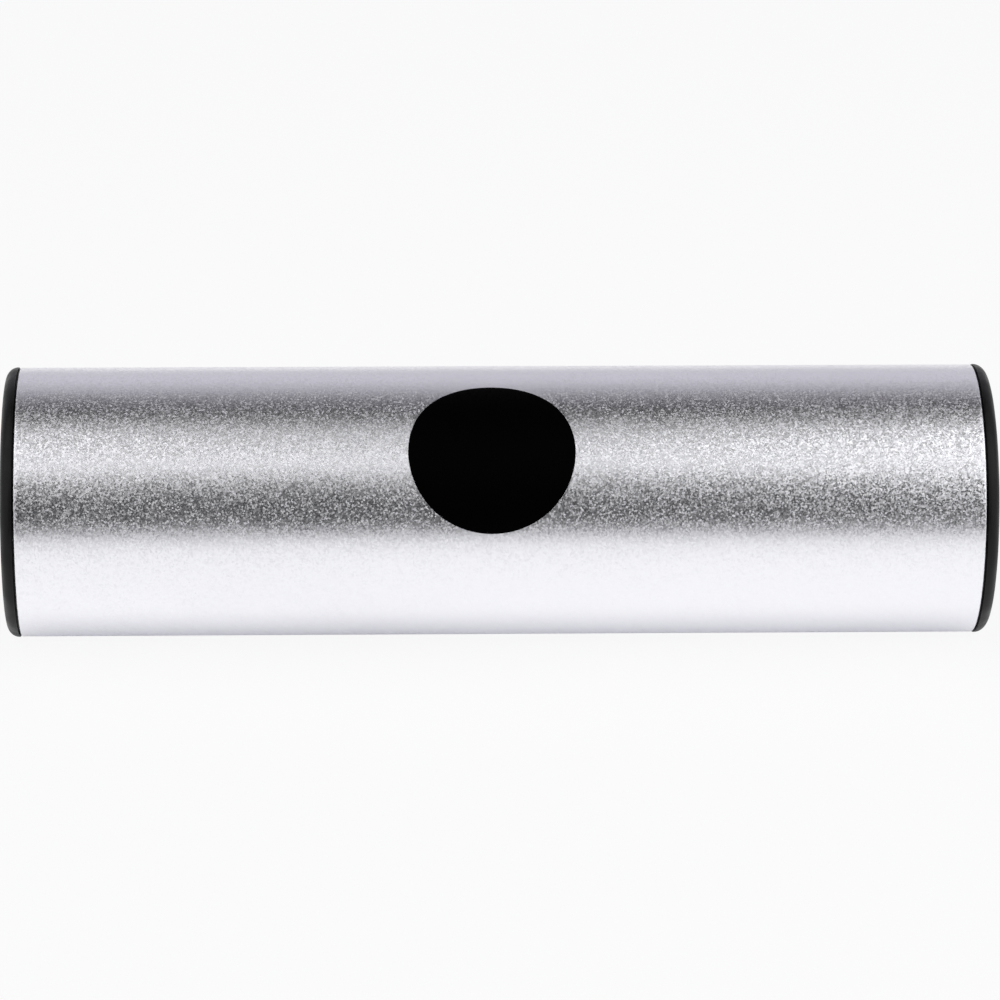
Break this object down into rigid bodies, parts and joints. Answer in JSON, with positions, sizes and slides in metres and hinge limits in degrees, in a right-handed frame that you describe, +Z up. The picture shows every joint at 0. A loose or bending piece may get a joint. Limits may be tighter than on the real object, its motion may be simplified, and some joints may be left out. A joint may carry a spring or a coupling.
{
  "type": "ganza shaker",
  "caption": "Round satin aluminium shaker tube with black plug caps, a plain round black print and loose steel shot sealed inside, lying on its side.",
  "frame": {"origin": "middle of the tube's axis", "axes": "+X along the tube to the right-hand cap, -Y the front, which the print faces from 50 degrees above the horizontal, +Z up"},
  "size_m": [0.2186, 0.0602, 0.0602],
  "materials": {
    "tube_metal": "fine-blasted and clear anodised, satin with a sparkling grain",
    "cap_rubber": "moulded black rubber, satin, finely mottled",
    "print_ink": "screen-printed black ink, satin",
    "shot_steel": "ground steel balls, bright"
  },
  "bodies": {
    "shaker": {"tube": "tube_metal", "left_cap": "cap_rubber", "right_cap": "cap_rubber", "printed_disc": "print_ink"},
    "shot_1": {"shot_1_lower": "shot_steel", "shot_1_upper": "shot_steel"},
    "shot_2": {"shot_2_lower": "shot_steel", "shot_2_upper": "shot_steel"},
    "shot_3": {"shot_3_lower": "shot_steel", "shot_3_upper": "shot_steel"},
    "shot_4": {"shot_4_lower": "shot_steel", "shot_4_upper": "shot_steel"},
    "shot_5": {"shot_5_lower": "shot_steel", "shot_5_upper": "shot_steel"},
    "shot_6": {"shot_6_lower": "shot_steel", "shot_6_upper": "shot_steel"},
    "shot_7": {"shot_7_lower": "shot_steel", "shot_7_upper": "shot_steel"},
    "shot_8": {"shot_8_lower": "shot_steel", "shot_8_upper": "shot_steel"},
    "shot_9": {"shot_9_lower": "shot_steel", "shot_9_upper": "shot_steel"}
  },
  "joints": [
    {"name": "shot_run", "type": "slide", "parent": "shaker", "child": "shot_5", "axis": [1, 0, 0], "range_m": [-0.0249, 0.0249]},
    {"name": "shot_1_roll", "type": "hinge", "parent": "shot_5", "child": "shot_1", "pos_m": [0, 0, 0], "axis": [1, 0, 0], "continuous": true},
    {"name": "shot_2_roll", "type": "hinge", "parent": "shot_5", "child": "shot_2", "pos_m": [0, 0, 0], "axis": [1, 0, 0], "continuous": true},
    {"name": "shot_3_roll", "type": "hinge", "parent": "shot_5", "child": "shot_3", "pos_m": [0, 0, 0], "axis": [1, 0, 0], "continuous": true},
    {"name": "shot_4_roll", "type": "hinge", "parent": "shot_5", "child": "shot_4", "pos_m": [0, 0, 0], "axis": [1, 0, 0], "continuous": true},
    {"name": "shot_6_roll", "type": "hinge", "parent": "shot_5", "child": "shot_6", "pos_m": [0, 0, 0], "axis": [1, 0, 0], "continuous": true},
    {"name": "shot_7_roll", "type": "hinge", "parent": "shot_5", "child": "shot_7", "pos_m": [0, 0, 0], "axis": [1, 0, 0], "continuous": true},
    {"name": "shot_8_roll", "type": "hinge", "parent": "shot_5", "child": "shot_8", "pos_m": [0, 0, 0], "axis": [1, 0, 0], "continuous": true},
    {"name": "shot_9_roll", "type": "hinge", "parent": "shot_5", "child": "shot_9", "pos_m": [0, 0, 0], "axis": [1, 0, 0], "continuous": true}
  ]
}
